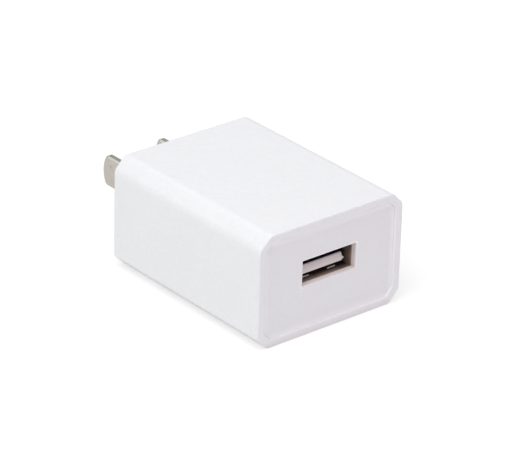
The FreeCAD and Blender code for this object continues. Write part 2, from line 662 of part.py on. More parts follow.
def make_insulator():
    """The socket's white tongue and rear block, with a groove and a channel for each contact."""
    body = new_body("usb_insulator")
    inner_width = "shell_width - 2 * shell_metal - 2 * block_gap"
    inner_height = "shell_height - 2 * shell_metal - 2 * block_gap"
    block = new_sketch(body, "block_outline", "XZ_Plane", f"-{SHELL_REAR}")
    add_outline(block, rectangle(("0", "port_height"), (inner_width, inner_height)))
    extrude(body, "Pad", "rear_block", block, "block_depth")
    soften(body, "Chamfer", "block_corners", lambda edge: runs_along(edge, "y"), "shell_round - shell_metal")

    tongue = new_sketch(body, "tongue_outline", "XZ_Plane", f"-{BLOCK_FRONT}")
    edge, flank = "tongue_width / 2", "(tongue_width / 2 - tongue_rib)"
    profile = ((flank, 0.0), (flank, 0.16), (edge, 0.26), (edge, 0.36), (flank, 0.5),
               (f"{flank} - tongue_lean", 1.0))
    right = [(x, f"{TONGUE_UNDER} + {share} * tongue_thick") for x, share in profile]
    add_outline(tongue, right + [(f"-({x})", z) for x, z in reversed(right)])
    extrude(body, "Pad", "tongue", tongue, f"{BLOCK_FRONT} - {TONGUE_TIP}")
    tip = value(TONGUE_TIP)
    soften(body, "Chamfer", "tongue_bevel",
           lambda edge: runs_along(edge, "x") and abs(middle_of(edge).y - tip) < 1e-6, "tongue_bevel")

    grooves = new_sketch(body, "grooves_outline", "XY_Plane", TONGUE_TOP)
    channels = new_sketch(body, "channels_outline", "XZ_Plane", f"-{SHELL_REAR}")
    for place in CONTACTS.values():
        start, end = f"{TONGUE_TIP} + groove_lip", f"{ROOT_PLACE} + contact_metal"
        centre = (place, f"(({start}) + ({end})) / 2")
        add_outline(grooves, rectangle(centre, ("groove_width", f"({end}) - ({start})")))
        add_outline(channels, rectangle((place, ROOT_HEIGHT),
                                        ("contact_width + 2 * block_gap", "contact_metal + 2 * block_gap")))
    extrude(body, "Pocket", "contact_grooves", grooves, "groove_depth")
    extrude(body, "Pocket", "contact_channels", channels, "block_depth", backwards=True)
    return body


def make_contact(name, place):
    """A contact's moving half: up from its root to a crest and down to its tip. The root is the hinge."""
    corners = [
        (place, ROOT_PLACE, ROOT_HEIGHT),
        (place, f"{ROOT_PLACE} - contact_reach * 0.7", f"{ROOT_HEIGHT} + contact_sink / 2"),
        (place, f"{ROOT_PLACE} - contact_reach", f"{TONGUE_TOP} + contact_crest"),
        (place, f"{ROOT_PLACE} - contact_tip", f"{TONGUE_TOP} - contact_sink / 2"),
    ]
    return strip(f"contact_{name}", corners, "contact_bend", "contact_metal", "contact_width")


def make_contact_tails():
    """The contacts' fixed halves: through the insulator's block, out of the rear and up through the board."""
    tails = []
    for name, place in CONTACTS.items():
        start = f"{ROOT_PLACE} + contact_metal + root_gap"
        turn = f"{SHELL_REAR} + tail_drop"
        corners = [(place, start, ROOT_HEIGHT), (place, turn, ROOT_HEIGHT), (place, turn, LEAD_END)]
        tails.append(strip(f"tail_{name}", corners, "contact_bend", "contact_metal", "contact_width"))
        board_holes.append((place, turn, "contact_width / 2 + hole_gap"))
    return group("contact_tails", *tails)


def make_finger(name, side, up):
    """A grip finger, cut out of the shell's wall and bent into the socket. Its root is the hinge."""
    wall = f"(port_height + {up} * (shell_height / 2 - shell_metal / 2))"
    middle = f"{side} * finger_place"
    root = f"{SHELL_FRONT} + finger_root - shell_metal / 2 - root_gap"
    corners = [
        (middle, root, wall),
        (middle, f"{SHELL_FRONT} + finger_crest", f"{wall} - {up} * finger_rise"),
        (middle, f"{SHELL_FRONT} + finger_tip", f"{wall} - {up} * finger_end"),
    ]
    return strip(f"grip_finger_{name}", corners, "finger_bend", "shell_metal", "finger_width")


# ---- transformer -----------------------------------------------------------------------------------------


def make_core_half(name, end):
    """One E-shaped ferrite half: a yoke with three legs that reach to the middle."""
    centre_y = "-trans_reach"
    yoke = f"{centre_y} + {end} * (core_depth / 2 - core_side / 2)"
    leg_length = "(core_depth / 2 - core_side - core_gap / 2)"
    leg = f"{centre_y} + {end} * (core_gap / 2 + {leg_length} / 2)"
    parts = [middle_box("yoke", ("trans_place", yoke, TRANS_HEIGHT),
                        ("core_width", "core_side", "core_thick"))]
    for side in (-1, 1):
        x = f"trans_place + {side} * (core_width / 2 - core_side / 2)"
        parts.append(middle_box("outer_leg", (x, leg, TRANS_HEIGHT), ("core_side", leg_length, "core_thick")))
    parts.append(middle_box("centre_leg", ("trans_place", leg, TRANS_HEIGHT),
                            ("core_middle", leg_length, "core_thick")))
    return fuse(f"transformer_core_{name}", *parts)


def make_bobbin():
    """The bobbin: a square tube round the centre legs, a flange at each end and two pin rails."""
    span = "(core_depth - 2 * core_side - 4 * core_gap)"
    tube = ("core_middle + 2 * core_gap + 2 * bobbin_wall", span,
            "core_thick + 2 * core_gap + 2 * bobbin_wall")
    centre = ("trans_place", "-trans_reach", TRANS_HEIGHT)
    parts = [middle_box("bobbin_tube", centre, tube)]
    for end in (-1, 1):
        y = f"-trans_reach + {end} * ({span} / 2 - bobbin_wall / 2)"
        parts.append(middle_box("bobbin_flange", ("trans_place", y, TRANS_HEIGHT),
                                ("flange_width", "bobbin_wall", "flange_tall")))
        low, high = f"{TRANS_HEIGHT} + core_thick / 2 + core_gap", f"{BOARD_UNDER} - board_lift"
        rail_y = (f"-trans_reach + {end} * ({span} / 2 + rail_deep / 2 - bobbin_wall / 2)")
        parts.append(middle_box("pin_rail", ("trans_place", rail_y, f"(({low}) + ({high})) / 2"),
                                ("core_width", "rail_deep", f"({high}) - ({low})")))
    bore = middle_box("bobbin_bore", centre,
                      ("core_middle + 2 * core_gap", "core_depth", "core_thick + 2 * core_gap"))
    pin_foot = f"{TRANS_HEIGHT} + core_thick / 2 + 2 * pin_radius"
    pin_bores = [cylinder("pin_bore", "pin_radius", (x, y, pin_foot), "flange_tall") for x, y in pin_places()]
    return cut("transformer_bobbin", fuse("bobbin_solid", *parts), bore, *pin_bores)


def pin_places():
    """Where the transformer's pins stand: four along each rail."""
    span = "(core_depth - 2 * core_side - 4 * core_gap)"
    return [(f"trans_place + {step} * pin_pitch", f"-trans_reach + {end} * ({span} / 2 + rail_deep / 2)")
            for end in (-1, 1) for step in (-1.5, -0.5, 0.5, 1.5)]


def make_transformer_pins():
    start = f"({TRANS_HEIGHT} + core_thick / 2 + 2 * pin_radius)"
    pins = []
    for x, y in pin_places():
        pins.append(cylinder("transformer_pin", "pin_radius", (x, y, start), f"{LEAD_END} - {start}"))
        board_holes.append((x, y, "pin_radius + hole_gap"))
    return group("transformer_pins", *pins)


def make_winding():
    """The winding under its tape: a rounded block between the flanges with the bobbin's tube through it."""
    span = "(core_depth - 2 * core_side - 4 * core_gap - 2 * bobbin_wall - 2 * core_gap)"
    centre = ("trans_place", "-trans_reach", TRANS_HEIGHT)
    block = middle_box("winding_block", centre, ("winding_width", span, "winding_tall"))
    rounded = dress("Fillet", "winding_rounded", block, lambda edge: runs_along(edge, "y"), "core_side / 2")
    grow = "4 * core_gap + 2 * bobbin_wall"
    bore = middle_box("winding_bore", centre, (f"core_middle + {grow}", "core_depth", f"core_thick + {grow}"))
    return cut("transformer_winding", rounded, bore)


def make_core_tape():
    """The band of tape round the outside of both core halves."""
    centre = ("trans_place", "-trans_reach", f"{TRANS_HEIGHT} - core_thick / 2 + tape_wide / 2")
    grow = "2 * core_gap"
    outer = middle_box("tape_outer", centre, (f"core_width + {grow} + 2 * tape_thick",
                                              f"core_depth + {grow} + 2 * tape_thick", "tape_wide"))
    inner = middle_box("tape_inner", centre,
                       (f"core_width + {grow}", f"core_depth + {grow}", "2 * tape_wide"))
    return cut("transformer_tape", outer, inner)


# ---- parts that hang below the board ---------------------------------------------------------------------


def round_leads(name, x, y, pitch, along="x"):
    """Two straight leads from a part's top up through the board, and their holes."""
    leads = []
    for side in (-1, 1):
        step = f"{side} * {pitch} / 2"
        place = (f"({x}) + {step}", y) if along == "x" else (x, f"({y}) + {step}")
        start = f"({BOARD_UNDER} - stand_off)"
        leads.append(cylinder(f"{name}_lead", "lead_radius", (*place, start), f"{LEAD_END} - {start}"))
        board_holes.append((*place, "lead_radius + hole_gap"))
    return leads


def make_can(name, x, y, radius, tall, pitch):
    """An electrolytic capacitor: a can with rounded ends, the crimp groove near its leads, and the leads."""
    top = f"({BOARD_UNDER} - stand_off)"
    block = cylinder(f"{name}_block", radius, (x, y, f"{top} - {tall}"), tall)
    rounded = dress("Fillet", f"{name}_rounded", block, is_round, "stand_off")
    groove = DOCUMENT.addObject("Part::Torus", f"{name}_groove")
    bind(groove, Radius1=f"{radius} + stand_off / 4", Radius2="stand_off")
    bind(groove, Placement__Base__x=x, Placement__Base__y=y, Placement__Base__z=f"{top} - 4 * stand_off")
    can = cut(f"{name}_can", rounded, groove)
    return group(name, can, *round_leads(name, x, y, pitch))


def make_choke():
    """The filter choke: a drum of ferrite with its wire between the flanges."""
    x, y, top = "side_place", "-choke_reach", f"({BOARD_UNDER} - stand_off)"
    parts = []
    for z in (f"{top} - choke_flange", f"{top} - choke_tall"):
        parts.append(cylinder("choke_end", "choke_radius", (x, y, z), "choke_flange"))
    parts.append(cylinder("choke_wire", "choke_radius * 0.85", (x, y, f"{top} - choke_tall"), "choke_tall"))
    return group("filter_choke", fuse("choke_drum", *parts), *round_leads("choke", x, y, "choke_pitch"))


def make_safety_capacitor():
    """The disc capacitor that bridges the mains side and the output side."""
    x, y, top = "side_place", "-disc_reach", f"({BOARD_UNDER} - stand_off)"
    disc = cylinder("disc_block", "disc_radius", (f"{x} - disc_thick / 2", y, f"{top} - disc_radius"),
                    "disc_thick", "x")
    rounded = dress("Fillet", "disc_rounded", disc, is_round, "disc_thick / 3")
    leads = []
    for side in (-1, 1):
        place = f"{y} + {side} * disc_pitch / 2"
        start = f"({top} - disc_radius)"
        leads.append(cylinder("disc_lead", "lead_radius", (x, place, start), f"{LEAD_END} - {start}"))
        board_holes.append((x, place, "lead_radius + hole_gap"))
    return fuse("safety_capacitor", rounded, *leads)


def make_fuse():
    """The fusible resistor between the blade springs: a rounded body lying along X on bent leads."""
    y, height = "-fuse_reach", f"({BOARD_UNDER} - stand_off - fuse_radius)"
    block = cylinder("fuse_block", "fuse_radius", ("-fuse_long / 2", y, height), "fuse_long", "x")
    rounded = dress("Fillet", "fuse_rounded", block, is_round, "fuse_radius / 2")
    leads = []
    for side in (-1, 1):
        end = f"{side} * fuse_pitch / 2"
        corners = [(f"{side} * fuse_long / 2", y, height), (end, y, height), (end, y, LEAD_END)]
        leads.append(lead_wire("fuse_lead", corners, "fuse_bend", "lead_radius"))
        board_holes.append((end, y, "lead_radius + hole_gap"))
    return group("fuse_resistor", rounded, *leads)


# ---- parts soldered on top of the board ------------------------------------------------------------------


def make_package(name, centre, size, leads, pitch, reach, lead_width, along="x"):
    """A moulded package on the board with bent leads on two opposite sides.

    size is across the leads, along the row of leads, and high. along is the axis that the leads point along.
    """
    (cx, cy), (across, row, high) = centre, size
    flip = along == "y"

    def block(part, mid, extent, low, tall):
        (mx, my), (ex, ey) = (mid, extent) if not flip else (mid[::-1], extent[::-1])
        middle = (f"({cx}) + {mx}", f"({cy}) + {my}", f"{BOARD_TOP} + {low + tall / 2}")
        return middle_box(f"{name}_{part}", middle, (str(ex), str(ey), str(tall)))

    metal = value("chip_metal")
    gap = metal / 2
    waist = value(BOARD_TOP) + gap + high / 2
    body = dress("Chamfer", f"{name}_body", block("block", (0, 0), (across, row), gap, high),
                 lambda edge: not runs_along(edge, "z") and middle_of(edge).z > waist, "0.15")
    wires = []
    for side in (-1, 1):
        for i in range(leads):
            step = (i - (leads - 1) / 2) * pitch
            foot = side * (across / 2 + reach / 2)
            wires.append(block("foot", (foot, step), (reach, lead_width), 0, metal))
            rise = side * (across / 2 + metal / 2)
            wires.append(block("riser", (rise, step), (metal, lead_width), 0, high / 2))
    return fuse(name, body, *wires)


def make_chips(name, places, size, along="y"):
    """Chip resistors or capacitors in a group: a body with a slightly larger terminal at each end."""
    long, wide, high = size
    sections = (("body", 1.0, 0.0, 0.0), ("end", 0.2, -0.4, 0.06), ("end", 0.2, 0.4, 0.06))
    chips = []
    for x, y in places:
        parts = []
        for part, share, mid, grow in sections:
            extent = (long * share + grow / 2, wide + grow)
            step = (long * mid, 0)
            if along == "y":
                extent, step = extent[::-1], step[::-1]
            tall = high + grow
            middle = (f"{x} + {step[0]}", f"{y} + {step[1]}", f"{BOARD_TOP} + {tall / 2}")
            parts.append(middle_box(f"{name}_{part}", middle, (*map(str, extent), str(tall))))
        chips.append(fuse(f"{name}_chip", *parts))
    return group(name, *chips)


def make_surface_parts():
    """The flat parts on the board's upper side: mains side to the rear, output side to the front."""
    nodes = [
        make_package("bridge_rectifier", ("-9.4", "-11.2"), (3.9, 4.7, 2.3), 2, 2.5, 1.3, 0.7),
        make_package("control_chip", ("trans_place", "-trans_reach"), (3.9, 4.9, 1.45), 4, 1.27, 1.0, 0.42),
        make_package("clamp_diode", ("-5.6", "-20.3"), (4.3, 2.6, 2.1), 1, 1.0, 0.5, 1.4, "y"),
        make_package("output_diode", ("8.6", "-29.0"), (4.6, 3.6, 2.2), 1, 1.0, 0.6, 2.0, "y"),
    ]
    resistors = [(f"{0.4 + 2.3 * i}", "-11.3") for i in range(5)]
    resistors += [(f"{-4.5 + 2.2 * i}", "-31.0") for i in range(3)]
    capacitors = [("-8.0", "-29.6"), ("3.2", "-31.0"), ("-3.2", "-36.2"), ("0.4", "-36.2")]
    nodes.append(make_chips("chip_resistors", resistors, (2.0, 1.25, 0.5)))
    nodes.append(make_chips("chip_capacitors", capacitors, (2.0, 1.25, 0.9)))
    return nodes


def make_insulation_sheet():
    """The sheet under the casing's roof that keeps the soldered side clear of it."""
    roof = "(body_height / 2 - wall)"
    return box("insulation_sheet", ("-sheet_width / 2", "sheet_width / 2"), ("-sheet_front", "-sheet_rear"),
               (f"{roof} - sheet_thick", roof))


def make_board():
    """The circuit board, drilled for every lead."""
    board = box("board_blank", ("-board_width / 2", "board_width / 2"), ("-board_front", "-board_rear"),
                (BOARD_UNDER, BOARD_TOP))
    drills = [cylinder("board_hole", radius, (x, y, f"{BOARD_UNDER} - board_thick"), "3 * board_thick")
              for x, y, radius in board_holes]
    return cut("circuit_board", board, *drills)


# ---- the whole charger -----------------------------------------------------------------------------------


def make_nodes():
    nodes = [make_housing(), make_front_plate(), make_carrier(), make_insulation_sheet()]
    for side in SIDES:
        nodes += [make_blade(side), make_leaf(side)]
    nodes += [make_socket_shell(), make_insulator(), make_contact_tails()]
    nodes += [make_contact(name, place) for name, place in CONTACTS.items()]
    nodes += [make_finger(name, side, up) for name, (side, up) in FINGERS.items()]
    nodes += [make_core_half("front", -1), make_core_half("rear", 1), make_bobbin(), make_winding()]
    nodes += [make_core_tape(), make_transformer_pins()]
    bulk = ("bulk_radius", "bulk_tall", "bulk_pitch")
    nodes += [make_can(f"bulk_capacitor_{end}", "-bulk_place", f"-bulk_{end}", *bulk)
              for end in ("front", "rear")]
    output = ("output_radius", "output_tall", "output_pitch")
    nodes += [make_can(f"output_capacitor_{side}", f"{sign} * output_place", "-output_reach", *output)
              for side, sign in SIDES.items()]
    nodes += [make_choke(), make_safety_capacitor(), make_fuse()]
    nodes += make_surface_parts()
    nodes.append(make_board())
    return nodes


def check(nodes):
    """Stops the build if any object failed or any node isn't made of closed, valid solids."""
    failed = [o.Label for o in DOCUMENT.Objects if {"Invalid", "Error"} & set(o.State)]
    if failed:
        raise RuntimeError(f"these objects failed: {failed}")
    for node in nodes:
        shape = node.Shape
        if shape.isNull() or not shape.isValid() or not shape.Solids:
            raise RuntimeError(f"{node.Label} has no valid solid")
        if any(solid.Volume <= 0 or not solid.isClosed() for solid in shape.Solids):
            raise RuntimeError(f"{node.Label} has an open or inverted solid")


def main():
    nodes = make_nodes()
    DOCUMENT.recompute()
    check(nodes)
    os.makedirs("parts", exist_ok=True)
    for node in nodes:
        node.Shape.exportStep(os.path.join("parts", f"{node.Label}.step"))
        box_of = node.Shape.BoundBox
        print(f"{node.Label}: {len(node.Shape.Solids)} solid(s), {node.Shape.Volume:.2f} mm3, "
              f"{box_of.XLength:.2f} x {box_of.YLength:.2f} x {box_of.ZLength:.2f} mm")


main()
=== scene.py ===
import json
import math

import bpy
from mathutils import Matrix, Vector


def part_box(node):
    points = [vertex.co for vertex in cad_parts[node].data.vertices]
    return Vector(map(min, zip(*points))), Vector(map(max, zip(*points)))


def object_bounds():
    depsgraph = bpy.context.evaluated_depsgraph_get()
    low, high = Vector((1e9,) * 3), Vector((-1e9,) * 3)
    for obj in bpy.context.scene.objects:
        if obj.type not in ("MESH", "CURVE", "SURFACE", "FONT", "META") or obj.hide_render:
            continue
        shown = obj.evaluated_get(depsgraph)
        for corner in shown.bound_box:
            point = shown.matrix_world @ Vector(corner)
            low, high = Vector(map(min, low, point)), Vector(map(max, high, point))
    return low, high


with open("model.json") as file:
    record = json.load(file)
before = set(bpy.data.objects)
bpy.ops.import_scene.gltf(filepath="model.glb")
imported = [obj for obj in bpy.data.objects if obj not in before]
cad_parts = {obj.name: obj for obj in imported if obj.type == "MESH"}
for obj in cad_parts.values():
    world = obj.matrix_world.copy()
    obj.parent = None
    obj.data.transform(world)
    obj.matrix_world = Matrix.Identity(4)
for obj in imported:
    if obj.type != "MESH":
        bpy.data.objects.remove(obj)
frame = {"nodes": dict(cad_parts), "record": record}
cad_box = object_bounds()

MM = 0.001
NODES = frame["nodes"]
BOARD_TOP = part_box("circuit_board")[1].z
CONTACT_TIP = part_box("contact_power")[0].y
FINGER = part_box("grip_finger_bottom_right")
CHOKE_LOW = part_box("filter_choke")[0].z
CASING_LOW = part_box("housing_shell")[0].z
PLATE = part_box("front_plate")[1]
SHELL_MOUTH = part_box("usb_shell")[0].y
SHELL_HALF = 2.86 * MM
TONGUE_STEP = 0.83 * MM
PORT_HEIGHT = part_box("usb_shell")[0].z + SHELL_HALF
TONGUE_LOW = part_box("usb_insulator")[0].z + TONGUE_STEP
TONGUE_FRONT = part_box("usb_insulator")[0].y
WINDOW_HALF = Vector((6.375, 0.0, 2.57)) * MM
NICK = Vector((-7.1, 13.95, 1.3)) * MM


# ---- node graphs -----------------------------------------------------------------------------------------


class Paint:
    """One procedural material, with short calls for the nodes it needs."""

    def __init__(self, name, **constants):
        self.material = bpy.data.materials.new(name)
        self.material.use_nodes = True
        self.tree = self.material.node_tree
        self.shader = self.tree.nodes["Principled BSDF"]
        for socket, value in constants.items():
            self.shader.inputs[socket.replace("_", " ")].default_value = value
        self.place = self.node("ShaderNodeTexCoord").outputs["Object"]

    def node(self, kind, **settings):
        """A new node of this kind, with its settings."""
        made = self.tree.nodes.new(kind)
        for name, value in settings.items():
            setattr(made, name, value)
        return made

    def feed(self, socket, value):
        """Link another node's output to a socket, or set its number or colour."""
        if isinstance(value, bpy.types.NodeSocket):
            self.tree.links.new(value, socket)
        elif isinstance(value, (tuple, list)) and len(value) == 3 and socket.type == "RGBA":
            socket.default_value = (*value, 1.0)
        else:
            socket.default_value = value

    def math(self, operation, a, b=0.0):
        """The outcome of one sum, product or other operation on one or two numbers."""
        made = self.node("ShaderNodeMath", operation=operation)
        for socket, value in zip(made.inputs, (a, b)):
            self.feed(socket, value)
        return made.outputs[0]

    def length(self, a, b):
        """How long an offset with these two parts is."""
        squares = self.math("ADD", self.math("MULTIPLY", a, a), self.math("MULTIPLY", b, b))
        return self.math("SQRT", squares)

    def mix(self, share, a, b, blend="MIX"):
        """Colour a, or b where share is 1."""
        made = self.node("ShaderNodeMix", data_type="RGBA", blend_type=blend)
        self.feed(made.inputs[0], share)
        self.feed(made.inputs[6], a)
        self.feed(made.inputs[7], b)
        return made.outputs[2]

    def blend(self, share, a, b):
        """Number a, or b where share is 1."""
        made = self.node("ShaderNodeMix", data_type="FLOAT")
        self.feed(made.inputs[0], share)
        self.feed(made.inputs[2], a)
        self.feed(made.inputs[3], b)
        return made.outputs[0]

    def span(self, value, low, high, to_low=0.0, to_high=1.0, smooth=False):
        """The value's place between low and high, as a number between to_low and to_high."""
        made = self.node("ShaderNodeMapRange", interpolation_type="SMOOTHSTEP" if smooth else "LINEAR")
        for socket, number in zip(made.inputs, (value, low, high, to_low, to_high)):
            self.feed(socket, number)
        return made.outputs[0]

    def stretch(self, scale, turn=(0, 0, 0)):
        """The row's coordinates, turned and scaled per axis."""
        made = self.node("ShaderNodeMapping")
        self.tree.links.new(self.place, made.inputs["Vector"])
        made.inputs["Rotation"].default_value = turn
        made.inputs["Scale"].default_value = scale
        return made.outputs[0]

    def noise(self, size_mm, detail=2.0, roughness=0.5, vector=None):
        """Noise from 0 to 1 whose features are about size_mm across."""
        made = self.node("ShaderNodeTexNoise")
        self.tree.links.new(vector or self.place, made.inputs["Vector"])
        made.inputs["Scale"].default_value = 1.0 / (size_mm * MM) if vector is None else 1.0
        made.inputs["Detail"].default_value = detail
        made.inputs["Roughness"].default_value = roughness
        return made.outputs[0]

    def grain(self, size_mm):
        """Rounded cells about size_mm across, 0 at their middles."""
        made = self.node("ShaderNodeTexVoronoi", feature="SMOOTH_F1")
        self.tree.links.new(self.place, made.inputs["Vector"])
        made.inputs["Scale"].default_value = 1.0 / (size_mm * MM)
        made.inputs["Smoothness"].default_value = 0.6
        return made.outputs["Distance"]

    def axis(self, name):
        """One row coordinate in metres."""
        made = self.node("ShaderNodeSeparateXYZ")
        self.tree.links.new(self.place, made.inputs[0])
        return made.outputs[name]

    def facing(self, name):
        """One part of the surface's direction, -1 to 1."""
        geometry = self.node("ShaderNodeNewGeometry")
        made = self.node("ShaderNodeSeparateXYZ")
        self.tree.links.new(geometry.outputs["Normal"], made.inputs[0])
        return made.outputs[name]

    def within(self, value, low, high, soft):
        """1 between low and high, fading to 0 over soft."""
        rise = self.span(value, low - soft, low + soft)
        fall = self.span(value, high - soft, high + soft, 1.0, 0.0)
        return self.math("MULTIPLY", rise, fall)

    def bump(self, height, depth_mm, strength=1.0, under=None):
        """A surface direction with this relief, over the relief under it if there is one."""
        made = self.node("ShaderNodeBump")
        self.feed(made.inputs["Height"], height)
        made.inputs["Distance"].default_value = depth_mm * MM
        made.inputs["Strength"].default_value = strength
        if under is not None:
            self.tree.links.new(under, made.inputs["Normal"])
        return made.outputs[0]

    def done(self, color, roughness, normal, metallic=None):
        """The finished material, with the shader's main sockets fed."""
        self.feed(self.shader.inputs["Base Color"], color)
        self.feed(self.shader.inputs["Roughness"], roughness)
        self.feed(self.shader.inputs["Normal"], normal)
        if metallic is not None:
            self.feed(self.shader.inputs["Metallic"], metallic)
        return self.material


# ---- materials -------------------------------------------------------------------------------------------


def moulded_plastic(name, color, deep, grain_mm, depth_mm, rough, painted_light=None):
    """Spark-eroded moulded plastic: fine grain, faint flow clouds, mottling and slightly uneven gloss.

    The last argument, when given, is called with the material and its colour so far, and gives the colour
    with painted light and shade laid over it.
    """
    p = Paint(name, IOR=1.5, Specular_IOR_Level=0.42)
    cloud = p.noise(7.0, 3.0, 0.55)
    speck = p.noise(grain_mm * 4, 2.0, 0.6)
    tone = p.mix(p.span(cloud, 0.3, 0.7), color, deep)
    tone = p.mix(p.span(speck, 0.62, 0.9, 0.0, 0.35), tone, [c * 0.93 for c in deep])
    tone = p.mix(p.span(p.noise(0.9, 3.0, 0.7), 0.38, 0.62), tone, [0.980, 0.974, 0.980], "MULTIPLY")
    # Painted light and shade laid on by the function given, if any.
    if painted_light is not None:
        tone = painted_light(p, tone)
    uneven = p.span(cloud, 0.2, 0.8, rough - 0.05, rough + 0.05)
    gloss = p.math("ADD", uneven, p.span(speck, 0.2, 0.8, -0.03, 0.03))
    fine = p.bump(p.noise(grain_mm, 2.0, 0.6), depth_mm)
    return p.done(tone, gloss, p.bump(p.grain(grain_mm * 2.4), depth_mm * 0.8, 0.6, fine))


def casing_painted_shade(p, tone):
    """The casing: painted shade on its down-facing faces, along the foot of its front face, and on up-facing
    faces inside its lower half.
    """
    # Painted shade: down-facing faces darkened.
    tone = p.mix(p.span(p.facing("Z"), -0.68, -0.5, 1.0, 0.0), tone, (0.68, 0.67, 0.68))
    # Painted shade: front faces darkened along the lowest 1.4 mm of the casing.
    low = p.span(p.axis("Z"), CASING_LOW, CASING_LOW + 1.4 * MM, 1.0, 0.0)
    painted_foot_shade = p.math("MULTIPLY", low, p.span(p.facing("Y"), -0.8, -0.4, 1.0, 0.0))
    tone = p.mix(painted_foot_shade, tone, (0.70, 0.675, 0.69))
    # Painted shade: up-facing faces in the lower half, such as the mouth's lower inner wall, darkened.
    painted_inner_shade = p.math("MULTIPLY", p.span(p.facing("Z"), 0.7, 0.9), p.math("LESS_THAN", p.axis("Z"), 0.0))
    return p.mix(painted_inner_shade, tone, (0.755, 0.755, 0.765))


def plate_painted_light(p, tone):
    """Front plate: painted light at its border, top and bottom; painted warm shade on the window's wall; a
    painted highlight on two window edges.
    """
    # Painted light: paler within about a millimetre of the plate's border.
    inset = p.math("MINIMUM", p.math("SUBTRACT", PLATE.x, p.math("ABSOLUTE", p.axis("X"))),
                   p.math("SUBTRACT", PLATE.z, p.math("ABSOLUTE", p.axis("Z"))))
    tone = p.mix(p.span(inset, 0.1 * MM, 1.1 * MM, 1.0, 0.0), tone, (0.87, 0.875, 0.89))
    # Painted light: paler near the plate's top and bottom edges.
    head = p.span(p.axis("Z"), PLATE.z - 1.3 * MM, PLATE.z - 0.3 * MM)
    foot = p.span(p.axis("Z"), 0.05 * MM - PLATE.z, 0.30 * MM - PLATE.z, 1.0, 0.0)
    tone = p.mix(p.math("MAXIMUM", p.math("MULTIPLY", head, 0.6), foot), tone, (0.97, 0.97, 0.97))
    across, up = p.axis("X"), p.math("SUBTRACT", p.axis("Z"), PORT_HEIGHT)
    past_x = p.math("SUBTRACT", p.math("ABSOLUTE", across), WINDOW_HALF.x)
    past_z = p.math("SUBTRACT", p.math("ABSOLUTE", up), WINDOW_HALF.z)
    near = p.span(p.math("MAXIMUM", past_x, past_z), 0.25 * MM, 0.29 * MM, 1.0, 0.0)
    # Painted shade: a warm, pinkish tint on the window's wall.
    wall = p.span(p.math("ABSOLUTE", p.facing("Y")), 0.2, 0.8, 1.0, 0.0)
    tone = p.mix(p.math("MULTIPLY", near, wall), tone, (0.83, 0.755, 0.745))
    # Painted highlight: a white line along the window's top and left edges.
    top = p.span(up, WINDOW_HALF.z - 0.05 * MM, WINDOW_HALF.z - 0.01 * MM)
    left = p.span(across, 0.045 * MM - WINDOW_HALF.x, 0.005 * MM - WINDOW_HALF.x)
    painted_highlight = p.math("MAXIMUM", top, left)
    return p.mix(p.math("MULTIPLY", near, painted_highlight), tone, (1.0, 1.0, 1.0))


def tongue_painted_shading(p, tone):
    """The socket's tongue: painted light towards its lower edge, painted shade above, and a painted black
    shadow on top, round the contacts.
    """
    height = p.math("SUBTRACT", p.axis("Z"), TONGUE_LOW)
    depth = p.math("SUBTRACT", p.axis("Y"), TONGUE_FRONT)
    # Painted light: paler towards the tongue's lower edge.
    tone = p.mix(p.span(height, 0.1 * MM, 1.2 * MM, 1.0, 0.0), tone, (1.0, 0.97, 0.94))
    # Painted shade: darker towards the tongue's top.
    tone = p.mix(p.span(height, 1.1 * MM, 1.9 * MM), tone, (0.63, 0.585, 0.585))
    # Painted shadow: near black on every up-facing face, and behind the front face from 0.8 mm up.
    behind = p.span(depth, 0.2 * MM, 0.24 * MM)
    painted_top_shadow = p.math("MULTIPLY", behind, p.span(height, 0.7 * MM, 0.8 * MM))
    return p.mix(p.math("MAXIMUM", painted_top_shadow, p.span(p.facing("Z"), 0.8, 0.95)), tone, (0.040, 0.026, 0.034))


def blade_nickel():
    """Nickel over brass: lines along the blade, rubbing marks, a nick, a painted highlight on the bevel and
    painted shade on the narrow edge faces.
    """
    p = Paint("blade_nickel", Metallic=1.0)
    lines = p.noise(1.0, 3.0, 0.65, p.stretch((16000, 350, 16000)))
    cloud = p.noise(3.0, 3.0, 0.6)
    scuffs = p.span(p.noise(1.0, 2.0, 0.5, p.stretch((2500, 220, 2500), (0.05, 0, 0.03))), 0.60, 0.70)
    pits = p.span(p.noise(0.22, 1.0, 0.4), 0.70, 0.80)
    side = p.math("ABSOLUTE", p.facing("X"))
    tone = p.mix(p.span(cloud, 0.3, 0.7), (0.54, 0.505, 0.455), (0.47, 0.44, 0.395))
    tone = p.mix(p.math("MULTIPLY", scuffs, 0.40), tone, (0.62, 0.57, 0.49))
    tone = p.mix(p.math("MULTIPLY", pits, 0.7), tone, (0.16, 0.13, 0.11))
    away = p.length(p.math("SUBTRACT", p.axis("Y"), NICK.y), p.math("SUBTRACT", p.axis("Z"), NICK.z))
    outer = p.math("LESS_THAN", p.axis("X"), NICK.x + 0.1 * MM)
    nick = p.math("MULTIPLY", p.span(away, 0.1 * MM, 0.42 * MM, 0.4, 0.0), outer)
    tone = p.mix(nick, tone, (0.16, 0.13, 0.11))
    # Painted highlight: the bevels between the sides and the edges made near white.
    tone = p.mix(p.within(side, 0.5, 0.9, 0.1), tone, (1.0, 1.0, 0.93))
    # Painted shade: the narrow edge faces toned darker than the bevel.
    tone = p.mix(p.span(side, 0.2, 0.5, 1.0, 0.0), tone, (0.585, 0.547, 0.47))
    gloss = p.math("ADD", p.span(lines, 0.3, 0.7, 0.27, 0.40), p.math("MULTIPLY", scuffs, 0.10))
    return p.done(tone, gloss, p.bump(lines, 0.004, 0.7, p.bump(p.math("ADD", scuffs, pits), -0.004, 0.6)))


